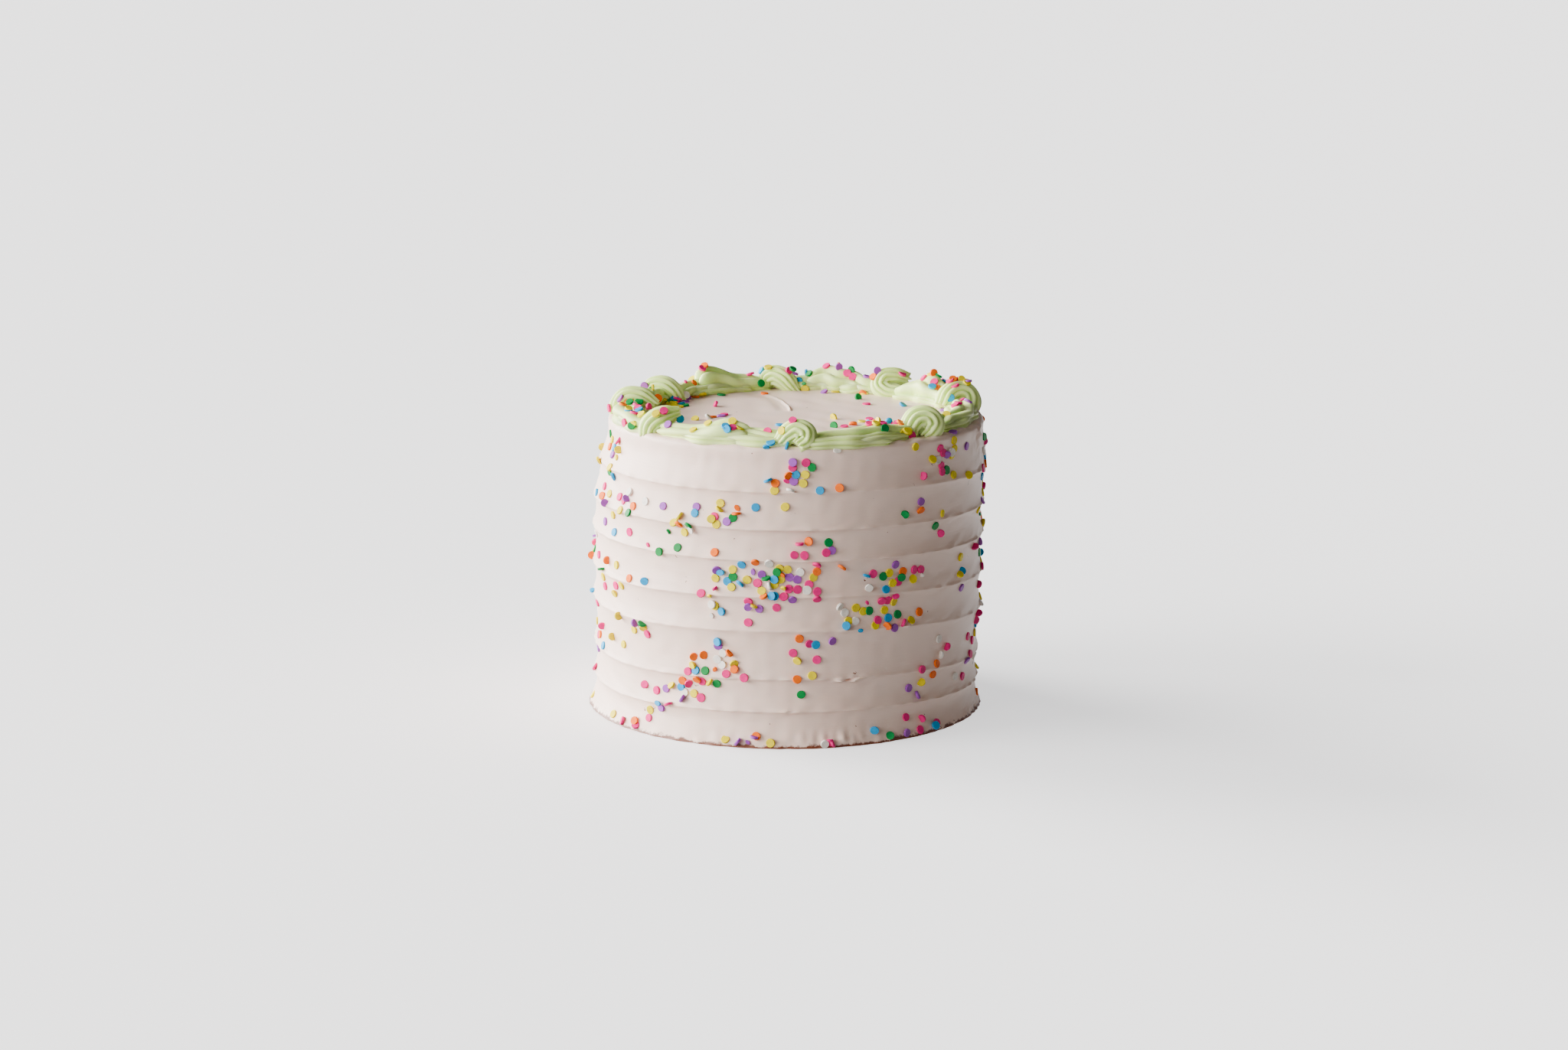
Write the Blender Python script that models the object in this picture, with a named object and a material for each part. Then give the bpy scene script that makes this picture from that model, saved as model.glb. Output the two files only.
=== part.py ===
"""A round confetti cake, iced all over and uncut.

The side carries one slow spiral of shallow spatula bands, the top is smooth, and its rim
carries a piped border in which small swirls take turns with swept strokes. Flat round
sprinkles lie in handfuls on the side, on the top and on the border.

Sizes are in millimetres and become metres where a mesh is made. The origin is the middle
of the base, +Z is up and the front is -Y. An azimuth is in degrees from the front,
growing towards +X.
"""

import math
import random

import bmesh
import bpy
import numpy as np
from mathutils import Matrix, Vector

MM = 0.001
GAP = 0.3
MERGE = 0.01  # points that lie closer than this are one

# Finishes: colour, roughness, share of light that goes into the icing
IVORY_ICING = ((0.83, 0.76, 0.70), 0.45, 0.1)
PISTACHIO_ICING = ((0.62, 0.74, 0.45), 0.45, 0.1)
SPREAD_SMOOTH = 35  # edges that turn by less, in degrees, are shaded smooth
PIPED_SMOOTH = 50

# The iced cake
TOP_HEIGHT = 155.0
RIM_HEIGHT = 153.0
SHOULDER = ((1.0, 154.5), (2.6, 155.0))  # inset from the rim, and height
MEAN_RADIUS = 102.0
WALL_HEIGHTS = (0, 4, 12, 40, 60, 80, 100, 120, 136, 153)
WALL_RADII = (104.6, 102.8, 101.7, 101.6, 102.6, 102.8, 102.9, 102.6, 101.0, 98.9)
WALL_COLUMNS = 48

# How far the cake's axis has moved towards +X: at the base, for every 100 mm of height, and near the rim
BASE_SHIFT = 0.3
LEAN = 1.3
TOP_LEAN = 3.6
TOP_LEAN_FROM = 105.0

# The slow unevenness of the side: one wave and three waves in a turn
ONE_WAVE = 0.45
ONE_WAVE_TURN = 0.6
THREE_WAVES = 0.3
THREE_WAVES_RISE = 40.0

# The spatula bands: heights of the spiral's ridges at the front, from the base up
RIDGE_HEIGHTS = (0, 19, 36, 61.5, 79, 97.5, 113.5, 132.5, 157.5)
ROWS_PER_BAND = 3
BAND_DEPTH = 1.6
HOLLOW_POWER = 2.1
RIDGE_LIFT = 0.7
FOOT_FADE = 14.0  # the bands fade out over this height at the foot and at the rim
RIM_FADE = 7.0
SAG_RIGHT = (82, 42, 2.5)  # azimuth, spread in degrees, depth
SAG_RIGHT_MORE = (55, 30, 5.0)  # height where it sags most, spread in height, depth
SAG_LEFT = (-58, 30, 2.4)
SAG_LEFT_FADE = (100, 70)  # heights where it starts and is full

# The piped border: its ring lies a little nearer the front than the cake's axis does
BORDER_RADIUS = 85.4
BORDER_TO_FRONT = 4.8
SWIRL_SIDES = 24
SWIRL_RIDGES = 6
SWIRL_RIDGE_DEPTH = 0.12
SWIRL_RIDGES_FROM = 0.25  # share of the height where the ridges are at their deepest
SWIRL_ROWS = ((0.88, 0.0), (1.0, 0.3), (0.86, 0.66), (0.55, 0.9), (0.2, 1.0))  # share of radius and of height
SWIRLS = (  # azimuth, radius, height, quarter turns of twist from rim to tip
    (0, 9.6, 13.0, 2.0),
    (48, 10.4, 14.0, 2.6),
    (103, 10.8, 15.2, 2.2),
    (139, 10.0, 14.0, 2.4),
    (188, 10.2, 12.6, 1.8),
    (240, 10.0, 13.0, 1.7),
    (271, 10.6, 13.8, 2.1),
    (309, 9.8, 13.0, 1.6),
)
STROKE_STATIONS = 10
STROKE_SIDES = 13
STROKE_RIDGES = 4
STROKE_RIDGE_DEPTH = 0.09
STROKE_TWIST = 3.2
STROKE_END = (6.8, 7.6)  # height and half width beside a swirl
STROKE_TIP = 0.45  # share of its size that the very end keeps
STROKE_BLUNTNESS = 12
STROKE_CROWN = 0.78  # share of the height above the widest place
STROKE_UNDERCUT = 0.12  # share of a half turn that the section runs on below its widest place
STROKES = (  # place of the hump along the stroke, height and half width there
    (0.50, 8.6, 9.4),
    (0.56, 9.4, 9.6),
    (0.50, 12.8, 10.6),
    (0.60, 14.0, 10.0),
    (0.62, 14.2, 10.4),
    (0.50, 9.6, 10.0),
    (0.50, 9.8, 10.4),
    (0.50, 12.0, 10.6),
)

# Sprinkles: flat round confetti
SPRINKLE_RADIUS = 2.2
SPRINKLE_THICKNESS = 1.3
SPRINKLE_SIDES = 6
SPRINKLE_SEED = 7
SHOWN_SHARE = 0.24
STANDING_SHARE = 0.18
STANDING_LIFT = 0.3  # of the sprinkle's radius
STANDING_TILT = (1.1, 1.5)
LYING_LIFT = 0.12  # of its thickness
LYING_TILT = 0.25
LEVELS = (4, 148)  # lowest and highest sprinkle on the side
REPEATED_TO = 66  # handfuls nearer the front than this azimuth come again at the back
CAST_RADIUS = 130.0
CAST_HEIGHT = 195.0
HANDFULS = (  # azimuth, height, half width and half height in mm, count
    (-1, 142, 10, 7, 11),
    (-5, 133, 6, 5, 4),
    (10, 134, 6, 2, 2),
    (-19, 120, 6, 6, 8),
    (-33, 115, 10, 6, 10),
    (-70, 140, 9, 10, 11),
    (-82, 131, 6, 4, 4),
    (-60, 117, 16, 7, 14),
    (-48, 102, 26, 6, 6),
    (-72, 80, 20, 10, 12),
    (-61, 72, 17, 4, 7),
    (4, 104, 6, 4, 5),
    (11, 103, 3, 4, 4),
    (8, 92, 2, 5, 4),
    (-18, 88, 6, 6, 9),
    (-10, 93, 7, 4, 6),
    (-2, 89, 7, 6, 14),
    (3, 82, 10, 6, 11),
    (-6, 81, 5, 4, 7),
    (-9, 73, 6, 4, 6),
    (27, 88, 9, 4, 7),
    (37, 86, 7, 4, 6),
    (30, 77, 5, 6, 6),
    (20, 68, 7, 5, 12),
    (30, 65, 10, 5, 11),
    (50, 141, 12, 10, 11),
    (48, 137, 8, 5, 6),
    (82, 132, 8, 16, 12),
    (84, 97, 8, 18, 12),
    (80, 54, 11, 20, 14),
    (41, 116, 13, 7, 7),
    (60, 84, 4, 6, 3),
    (50, 35, 11, 14, 9),
    (62, 26, 10, 6, 4),
    (41, 6, 16, 5, 7),
    (4, 46, 6, 13, 9),
    (-24, 42, 10, 6, 12),
    (-17, 43, 6, 8, 8),
    (-31, 28, 12, 5, 11),
    (-41, 15, 9, 6, 6),
    (-50, 5, 6, 4, 3),
    (-46, 55, 5, 4, 5),
    (-63, 46, 20, 7, 8),
    (-12, 5, 9, 3, 7),
    (12, 4, 4, 2, 3),
    (-72, 6, 11, 5, 4),
)
TOP_HANDFULS = (  # azimuth and distance from the middle of the top, half spread in mm, count
    (150, 46, 16, 4),
    (200, 50, 14, 2),
    (40, 30, 26, 3),
    (250, 56, 8, 4),
    (285, 40, 18, 2),
)
BORDER_SPRINKLES = 2
BORDER_SPREAD = 4.0
SWIRL_SPREAD = 0.55  # of the swirl's radius
STROKE_SPREAD = 13.5


def clear_scene():
    for old in list(bpy.data.objects):
        bpy.data.objects.remove(old, do_unlink=True)


def new_collection(name):
    made = bpy.data.collections.new(name)
    bpy.context.scene.collection.children.link(made)
    return made


def surface(name, colour, roughness, subsurface):
    """A Principled material for one finish of the cake."""
    made = bpy.data.materials.new(name)
    made.use_nodes = True
    shader = made.node_tree.nodes["Principled BSDF"]
    shader.inputs["Base Color"].default_value = (*colour, 1)
    shader.inputs["Roughness"].default_value = roughness
    shader.inputs["Metallic"].default_value = 0
    shader.inputs["Subsurface Weight"].default_value = subsurface
    return made


def smooth_step(low, high, value):
    share = np.clip((value - low) / (high - low), 0, 1)
    return share * share * (3 - 2 * share)


def lean(height):
    """How far the cake's axis has moved towards +X at this height."""
    return BASE_SHIFT + LEAN * height / 100 + TOP_LEAN * smooth_step(TOP_LEAN_FROM, RIM_HEIGHT, height)


def facing(azimuth, middle, width):
    """1 at this azimuth and falling to 0 away from it, the same after a whole turn."""
    return np.exp((np.cos(np.radians(azimuth - middle)) - 1) * 2 / math.radians(width) ** 2)


def band_height(turns, azimuth):
    """The height reached after this many bands of the spiral, which sags a little to both sides."""
    rise = np.interp(turns, np.arange(len(RIDGE_HEIGHTS)), RIDGE_HEIGHTS)
    below = np.minimum(turns, 0) * RIDGE_HEIGHTS[1]
    above = np.maximum(turns - len(RIDGE_HEIGHTS) + 1, 0) * RIDGE_HEIGHTS[1]
    middle, spread, deeper = SAG_RIGHT_MORE
    depth = SAG_RIGHT[2] + deeper * np.exp(-(((rise - middle) / spread) ** 2))
    right = depth * facing(azimuth, *SAG_RIGHT[:2])
    left = SAG_LEFT[2] * smooth_step(*SAG_LEFT_FADE, rise) * facing(azimuth, *SAG_LEFT[:2])
    return rise + below + above - right - left


def wall_radius(azimuth, height, turns):
    """The side's radius: its profile, a slow unevenness, and the hollow of each band between two ridges."""
    across = 2 * (turns - np.floor(turns)) - 1
    hollow = 1 - np.abs(across) ** HOLLOW_POWER
    fade = smooth_step(0, FOOT_FADE, height) * smooth_step(RIM_HEIGHT, RIM_HEIGHT - RIM_FADE, height)
    around = np.radians(azimuth)
    uneven = ONE_WAVE * np.cos(around + ONE_WAVE_TURN)
    uneven = uneven + THREE_WAVES * np.cos(3 * around + height / THREE_WAVES_RISE)
    profile = np.interp(height, WALL_HEIGHTS, WALL_RADII)
    return profile + uneven + fade * (RIDGE_LIFT - BAND_DEPTH * hollow)


def border_radius(azimuth):
    """How far the middle of the piped border lies from the axis."""
    return BORDER_RADIUS + BORDER_TO_FRONT * np.cos(np.radians(azimuth))


def around_axis(azimuth, radius, height, shift):
    """Points at these azimuths and radii round an axis moved along +X, as an array (..., 3)."""
    angle = np.radians(azimuth)
    parts = np.broadcast_arrays(shift + radius * np.sin(angle), -radius * np.cos(angle), height)
    return np.stack(parts, axis=-1)


def skin(name, rings, material, parts, smooth_angle):
    """One closed object over rings of points that are each joined to the next, with both ends capped.

    Rings that collapse to fewer points, and first and last points that meet, are merged."""
    rows, columns = rings.shape[:2]
    index = np.arange(rows * columns).reshape(rows, columns)
    low, high = index[:-1], index[1:]
    quads = np.stack([low[:, :-1], low[:, 1:], high[:, 1:], high[:, :-1]], axis=-1)
    mesh = bpy.data.meshes.new(name)
    mesh.from_pydata((rings.reshape(-1, 3) * MM).tolist(), [], quads.reshape(-1, 4).tolist())
    body = bmesh.new()
    body.from_mesh(mesh)
    bmesh.ops.remove_doubles(body, verts=body.verts, dist=MERGE * MM)
    ends = [edge for edge in body.edges if edge.is_boundary]
    bmesh.ops.holes_fill(body, edges=ends, sides=0)
    bmesh.ops.recalc_face_normals(body, faces=body.faces)
    body.to_mesh(mesh)
    body.free()
    mesh.materials.append(material)
    mesh.shade_smooth()
    mesh.set_sharp_from_angle(angle=math.radians(smooth_angle))
    made = bpy.data.objects.new(name, mesh)
    parts.objects.link(made)
    return made


def make_cake(parts, icing):
    """The side as rows that follow the spiral, then the rounded rim and the flat top.

    The last point of a row meets the first of the row one band lower."""
    turn = np.linspace(-180, 180, WALL_COLUMNS + 1)
    first, last = -2, (len(RIDGE_HEIGHTS) - 1) * ROWS_PER_BAND + 2
    bands = np.arange(first, last + 1)[:, None] / ROWS_PER_BAND - turn[None, :] / 360
    azimuth = np.broadcast_to(turn, bands.shape)
    height = np.clip(band_height(bands, azimuth), 0, RIM_HEIGHT)
    side = around_axis(azimuth, wall_radius(azimuth, height, bands), height, lean(height))
    rim = wall_radius(turn, np.full_like(turn, RIM_HEIGHT), np.zeros_like(turn))
    shoulder = [around_axis(turn, rim - inset, level, lean(RIM_HEIGHT)) for inset, level in SHOULDER]
    rings = np.concatenate([side, np.array(shoulder)])
    return skin("cake", rings, icing, parts, SPREAD_SMOOTH)


def make_swirl(name, azimuth, radius, height, twist, parts, icing):
    """A rosette: a dome whose ridges wind from its foot up to a tip."""
    round_it = np.linspace(0, 2 * math.pi, SWIRL_SIDES + 1)
    rings = []
    middle = around_axis(azimuth, border_radius(azimuth), TOP_HEIGHT + GAP, lean(RIM_HEIGHT))
    for spread, rise in SWIRL_ROWS:
        wind = twist * math.pi / 2 * (1 - spread)
        depth = SWIRL_RIDGE_DEPTH * min(1, rise / SWIRL_RIDGES_FROM)
        ridge = 1 + depth * np.cos(SWIRL_RIDGES * (round_it + wind))
        reach = radius * spread * ridge
        lift = np.full_like(round_it, rise * height)
        rings.append(middle + np.stack([reach * np.cos(round_it), reach * np.sin(round_it), lift], axis=-1))
    return skin(name, np.array(rings), icing, parts, PIPED_SMOOTH)


def swell(place, hump):
    """From 0 at both ends of a stroke to 1 at its hump, smoothly."""
    return np.where(place < hump, smooth_step(0, hump, place), smooth_step(1, hump, place))


def make_stroke(name, start, end, hump, height, half_width, parts, icing):
    """A piped pull along the rim: a half-round section with lengthwise ridges, thin at both ends."""
    over = np.linspace(-STROKE_UNDERCUT * math.pi, (1 + STROKE_UNDERCUT) * math.pi, STROKE_SIDES)
    rings = []
    for place in (1 - np.cos(np.linspace(0, math.pi, STROKE_STATIONS))) / 2:
        full = float(swell(place, hump))
        blunt = math.sqrt(max(0.0, 1 - abs(2 * place - 1) ** STROKE_BLUNTNESS))
        tip = STROKE_TIP + (1 - STROKE_TIP) * blunt
        high = (STROKE_END[0] + (height - STROKE_END[0]) * full) * tip
        wide = (STROKE_END[1] + (half_width - STROKE_END[1]) * full) * tip
        ridge = 1 + STROKE_RIDGE_DEPTH * np.cos(2 * STROKE_RIDGES * over + STROKE_TWIST * place)
        azimuth = start + (end - start) * place
        reach = border_radius(azimuth) - wide * np.cos(over) * ridge
        lift = np.maximum(0, high * (1 - STROKE_CROWN + STROKE_CROWN * np.sin(over)) * ridge)
        reach, lift = np.append(reach, reach[0]), np.append(lift, lift[0])
        rings.append(around_axis(azimuth, reach, TOP_HEIGHT + GAP + lift, lean(RIM_HEIGHT)))
    return skin(name, np.array(rings), icing, parts, PIPED_SMOOTH)


def make_border(parts, icing):
    """The swirls, and between each and the next a stroke that stops short of both."""
    swirls, strokes = [], []
    for number, (azimuth, radius, height, twist) in enumerate(SWIRLS, 1):
        name = f"border_swirl_{number}"
        swirls.append(make_swirl(name, azimuth, radius, height, twist, parts, icing))
    for number, (hump, height, half_width) in enumerate(STROKES, 1):
        before = SWIRLS[number - 1]
        after = SWIRLS[number % len(SWIRLS)]
        reach_before = (1 + SWIRL_RIDGE_DEPTH) * before[1] + 2 * GAP
        reach_after = (1 + SWIRL_RIDGE_DEPTH) * after[1] + 2 * GAP
        start = before[0] + math.degrees(reach_before / border_radius(before[0]))
        end = after[0] + 360 * (after[0] < before[0]) - math.degrees(reach_after / border_radius(after[0]))
        name = f"border_stroke_{number}"
        strokes.append(make_stroke(name, start, end, hump, height, half_width, parts, icing))
    return swirls, strokes


def sprinkle_shape():
    """The one thin disc that all the sprinkles share."""
    body = bmesh.new()
    bmesh.ops.create_cone(
        body,
        cap_ends=True,
        segments=SPRINKLE_SIDES,
        radius1=SPRINKLE_RADIUS * MM,
        radius2=SPRINKLE_RADIUS * MM,
        depth=SPRINKLE_THICKNESS * MM,
    )
    mesh = bpy.data.meshes.new("sprinkle")
    body.to_mesh(mesh)
    body.free()
    return mesh


def lay(shape, place, normal, draw, loose):
    """One sprinkle on a surface: most lie nearly flat, a little sunk, and some stand on edge."""
    stands = draw.random() < STANDING_SHARE
    lift = STANDING_LIFT * SPRINKLE_RADIUS if stands else LYING_LIFT * SPRINKLE_THICKNESS
    lean_over = draw.uniform(*STANDING_TILT) if stands else draw.gauss(0, LYING_TILT)
    tilt = Matrix.Rotation(lean_over, 4, "X")
    spin = Matrix.Rotation(draw.uniform(0, math.tau), 4, "Z")
    outward = normal.to_track_quat("Z", "Y").to_matrix().to_4x4()
    made = bpy.data.objects.new("sprinkle", shape)
    made.matrix_world = Matrix.Translation(place + normal * lift * MM) @ outward @ spin @ tilt
    loose.objects.link(made)


def in_disc(draw):
    """A seeded draw inside a disc of radius 1."""
    angle, reach = draw.uniform(0, math.tau), math.sqrt(draw.random())
    return reach * math.cos(angle), reach * math.sin(angle)


def sprinkle_side(cake, shape, draw, loose):
    """Each handful at the front, and the same handfuls carried round to the back."""
    for azimuth, height, half_width, half_height, count in HANDFULS:
        for turn, mirror in ((0, 1), (180, -1)):
            if mirror == -1 and abs(azimuth) > REPEATED_TO:
                continue
            for _ in range(max(1, round(count * SHOWN_SHARE))):
                aside, up = in_disc(draw)
                angle = turn + mirror * azimuth + math.degrees(aside * half_width / MEAN_RADIUS)
                level = min(max(height + up * half_height, LEVELS[0]), LEVELS[1])
                outward = Vector(around_axis(angle, 1, 0, 0))
                start = Vector(around_axis(angle, CAST_RADIUS, level, lean(level))) * MM
                hit, place, normal, _ = cake.ray_cast(start, -outward)
                if hit:
                    lay(shape, place, normal, draw, loose)


def sprinkle_top(cake, shape, draw, loose):
    for azimuth, reach, half_spread, count in TOP_HANDFULS:
        middle = Vector(around_axis(azimuth, reach, CAST_HEIGHT, lean(RIM_HEIGHT)))
        for _ in range(count):
            aside, along = in_disc(draw)
            start = (middle + Vector((aside, along, 0)) * half_spread) * MM
            hit, place, normal, _ = cake.ray_cast(start, Vector((0, 0, -1)))
            if hit:
                lay(shape, place, normal, draw, loose)


def sprinkle_border(node, azimuth, half_length, shape, draw, loose):
    """A few sprinkles along the crown of one piped piece."""
    for _ in range(BORDER_SPRINKLES):
        aside, along = in_disc(draw)
        angle = azimuth + math.degrees(along * half_length / BORDER_RADIUS)
        reach = border_radius(angle) + BORDER_SPREAD * aside
        start = Vector(around_axis(angle, reach, CAST_HEIGHT, lean(RIM_HEIGHT))) * MM
        hit, place, normal, _ = node.ray_cast(start, Vector((0, 0, -1)))
        if hit:
            lay(shape, place, normal, draw, loose)


def fuse(node, loose):
    """Joins the loose sprinkles to their node as one closed skin, then removes them."""
    union = node.modifiers.new("sprinkles", "BOOLEAN")
    union.operation = "UNION"
    union.operand_type = "COLLECTION"
    union.collection = loose
    union.solver = "MANIFOLD"
    graph = bpy.context.evaluated_depsgraph_get()
    joined = bpy.data.meshes.new_from_object(node.evaluated_get(graph))
    node.modifiers.clear()
    node.data = joined
    for piece in list(loose.objects):
        bpy.data.objects.remove(piece, do_unlink=True)


def main():
    clear_scene()
    parts = new_collection("confetti_cake")
    loose = new_collection("loose_sprinkles")
    icing = surface("ivory_icing", *IVORY_ICING)
    green = surface("pistachio_icing", *PISTACHIO_ICING)
    cake = make_cake(parts, icing)
    swirls, strokes = make_border(parts, green)
    shape = sprinkle_shape()
    draw = random.Random(SPRINKLE_SEED)
    bpy.context.view_layer.update()
    sprinkle_side(cake, shape, draw, loose)
    sprinkle_top(cake, shape, draw, loose)
    fuse(cake, loose)
    for node, (azimuth, radius, _, _) in zip(swirls, SWIRLS):
        sprinkle_border(node, azimuth, SWIRL_SPREAD * radius, shape, draw, loose)
        fuse(node, loose)
    for number, node in enumerate(strokes):
        before, after = SWIRLS[number][0], SWIRLS[(number + 1) % len(SWIRLS)][0]
        middle = (before + after + 360 * (after < before)) / 2
        sprinkle_border(node, middle, STROKE_SPREAD, shape, draw, loose)
        fuse(node, loose)
    bpy.data.collections.remove(loose)


main()
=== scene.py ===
import math
import random

import bmesh
import bpy
import numpy as np
from mathutils import Matrix, Vector
from mathutils.bvhtree import BVHTree


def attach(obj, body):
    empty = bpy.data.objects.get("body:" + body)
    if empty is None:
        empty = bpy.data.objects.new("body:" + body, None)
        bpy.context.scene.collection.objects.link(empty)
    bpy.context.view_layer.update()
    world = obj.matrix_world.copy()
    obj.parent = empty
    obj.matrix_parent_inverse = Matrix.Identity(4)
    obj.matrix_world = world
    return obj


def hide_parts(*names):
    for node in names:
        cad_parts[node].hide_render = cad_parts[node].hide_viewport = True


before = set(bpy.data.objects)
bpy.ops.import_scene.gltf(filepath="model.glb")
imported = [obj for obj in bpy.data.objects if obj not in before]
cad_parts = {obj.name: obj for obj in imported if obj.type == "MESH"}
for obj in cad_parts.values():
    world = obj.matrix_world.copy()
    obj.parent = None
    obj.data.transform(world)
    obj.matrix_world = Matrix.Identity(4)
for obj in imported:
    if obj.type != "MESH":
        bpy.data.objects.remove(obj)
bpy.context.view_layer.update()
mm = 0.001
radian = 57.3  # in degrees


# curves that several pieces share

def smoothStep(low, high, value):
    # 0 below low, 1 above high, and 3s² - 2s³ in between
    share = np.clip((value - low) / (high - low), 0, 1)
    return share * share * (3 - 2 * share)


def facing(azimuth, middle, width):
    # a bell round one azimuth that is the same after a whole turn
    return np.exp((np.cos(np.radians(azimuth - middle)) - 1) * 2 * (radian / width) ** 2)


def ripple(azimuth, seed, lowest, highest):
    # an unevenness round the cake: seeded cosines with lowest to highest waves in a turn, about 1 high
    waves = np.arange(lowest, highest + 1)
    phases = np.random.default_rng(seed).uniform(0, 2 * np.pi, waves.size)
    around = np.radians(np.asarray(azimuth, float))[..., None]
    return np.cos(around * waves + phases).sum(axis=-1) * np.sqrt(2 / waves.size)


def grain(across, up, seed, shortest, longest, count=20):
    # a patchy unevenness on a flat map in mm: seeded plane waves between two wavelengths, about 1 high
    draw = np.random.default_rng(seed)
    lengths = np.exp(draw.uniform(np.log(shortest), np.log(longest), count))
    angles = draw.uniform(0, 2 * np.pi, count)
    phases = draw.uniform(0, 2 * np.pi, count)
    total = 0
    for length, angle, phase in zip(lengths, angles, phases):
        total = total + np.cos((across * np.cos(angle) + up * np.sin(angle)) * 2 * np.pi / length + phase)
    return total * np.sqrt(2 / count)


def aroundAxis(azimuth, radius, height, shift):
    # points at these azimuths and radii round an axis moved along +X, as an array (..., 3)
    angle = np.radians(azimuth)
    parts = np.broadcast_arrays(shift + radius * np.sin(angle), -radius * np.cos(angle), height)
    return np.stack(parts, axis=-1)


def unit(vectors):
    return vectors / np.linalg.norm(vectors, axis=-1, keepdims=True)


# meshes and materials

def addPiece(name, points, faces, material, nodes, merge=0.0, sharpness=40):
    # one finished piece: points in mm, faces turned outwards, its finish, and the nodes that it stands for
    mesh = bpy.data.meshes.new(name)
    mesh.from_pydata((points * mm).tolist(), [], faces)
    body = bmesh.new()
    body.from_mesh(mesh)
    if merge:
        bmesh.ops.remove_doubles(body, verts=body.verts, dist=merge * mm)
        bmesh.ops.holes_fill(body, edges=[edge for edge in body.edges if edge.is_boundary], sides=0)
    bmesh.ops.recalc_face_normals(body, faces=body.faces)
    body.to_mesh(mesh)
    body.free()
    mesh.shade_smooth()
    mesh.set_sharp_from_angle(angle=math.radians(sharpness))
    mesh.materials.append(material)
    piece = bpy.data.objects.new(name, mesh)
    bpy.context.scene.collection.objects.link(piece)
    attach(piece, "root")
    if nodes:
        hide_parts(*nodes)
    return piece


def ropeFaces(stations, sides, first=0):
    # the faces of a closed rope: rings of points joined in turn, and one point that closes each end
    index = first + np.arange(stations * sides).reshape(stations, sides)
    beside = np.roll(index, -1, axis=1)
    skin = np.stack([index[:-1], beside[:-1], beside[1:], index[1:]], axis=-1).reshape(-1, 4)
    start, end = first + stations * sides, first + stations * sides + 1
    startCap = np.stack([beside[0], index[0], np.full(sides, start)], axis=-1)
    endCap = np.stack([index[-1], beside[-1], np.full(sides, end)], axis=-1)
    return skin.tolist() + startCap.tolist() + endCap.tolist()


def linear(hexColour):
    # an sRGB hex colour as linear light with full alpha
    shares = [int(hexColour[place:place + 2], 16) / 255 for place in (1, 3, 5)]
    return [share / 12.92 if share <= 0.04045 else ((share + 0.055) / 1.055) ** 2.4 for share in shares] + [1]


def addNode(tree, kind, inputs=None, **settings):
    # adds one node: settings are its own properties, and inputs are values or the sockets that feed it
    node = tree.nodes.new(kind)
    for name, value in settings.items():
        setattr(node, name, value)
    for name, value in (inputs or {}).items():
        if isinstance(value, bpy.types.NodeSocket):
            tree.links.new(value, node.inputs[name])
        else:
            node.inputs[name].default_value = value
    return node


def addNoise(tree, place, size, detail, rough=0.5):
    # a noise in patches of about this many mm
    return addNode(tree, "ShaderNodeTexNoise", {"Vector": place, "Scale": 1 / (size * mm), "Detail": detail,
                                                "Roughness": rough}).outputs["Fac"]


def addMix(tree, share, first, second):
    # a colour that goes from the first to the second with the share
    return addNode(tree, "ShaderNodeMix", {"Factor": share, "A": first, "B": second},
                   data_type="RGBA").outputs["Result"]


def addRelief(tree, height, depth, **more):
    # bumps this many mm deep
    bump = addNode(tree, "ShaderNodeBump", {"Height": height, "Distance": depth * mm, **more})
    return bump.outputs["Normal"]


def newMaterial(name):
    material = bpy.data.materials.new(name)
    material.use_nodes = True
    tree = material.node_tree
    return material, tree, tree.nodes["Principled BSDF"]


def finishMaterial(tree, shader, values, colour, relief):
    # feeds the shader its colour and its relief, and sets its other sockets to plain values
    tree.links.new(colour, shader.inputs["Base Color"])
    tree.links.new(relief, shader.inputs["Normal"])
    for socket, value in values.items():
        shader.inputs[socket].default_value = value


# ivory buttercream, spread with a metal spatula: a soft half-matt sheen, fine drag lines round the side,
# low lumps, light that goes a few millimetres in, and a thin broken line of cake crumbs along the foot
ivoryIcing = {
    "colour": "#f3d9cc",
    "deeperColour": "#f0d1c2",
    "patchSize": 34.0,
    "crumbColour": "#6e3820",
    "crumbHeight": 3.6,
    "crumbPatch": 7.0,
    "crumbRise": 2.4,  # of the crumb height, where the patchy noise is at its highest
    "crumbDrop": 0.7,  # of the crumb height, taken off everywhere, which breaks the line
    "crumbStrength": 1.9,
    "dragSpacing": 0.9,
    "dragLength": 45.0,
    "dragDepth": 0.07,
    "lumpSize": 9.0,
    "lumpDepth": 0.16,
    "shader": {"Roughness": 0.48, "IOR": 1.46, "Subsurface Weight": 0.22,
               "Subsurface Radius": (1.0, 0.62, 0.42), "Subsurface Scale": 3.0 * mm},
}


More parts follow.
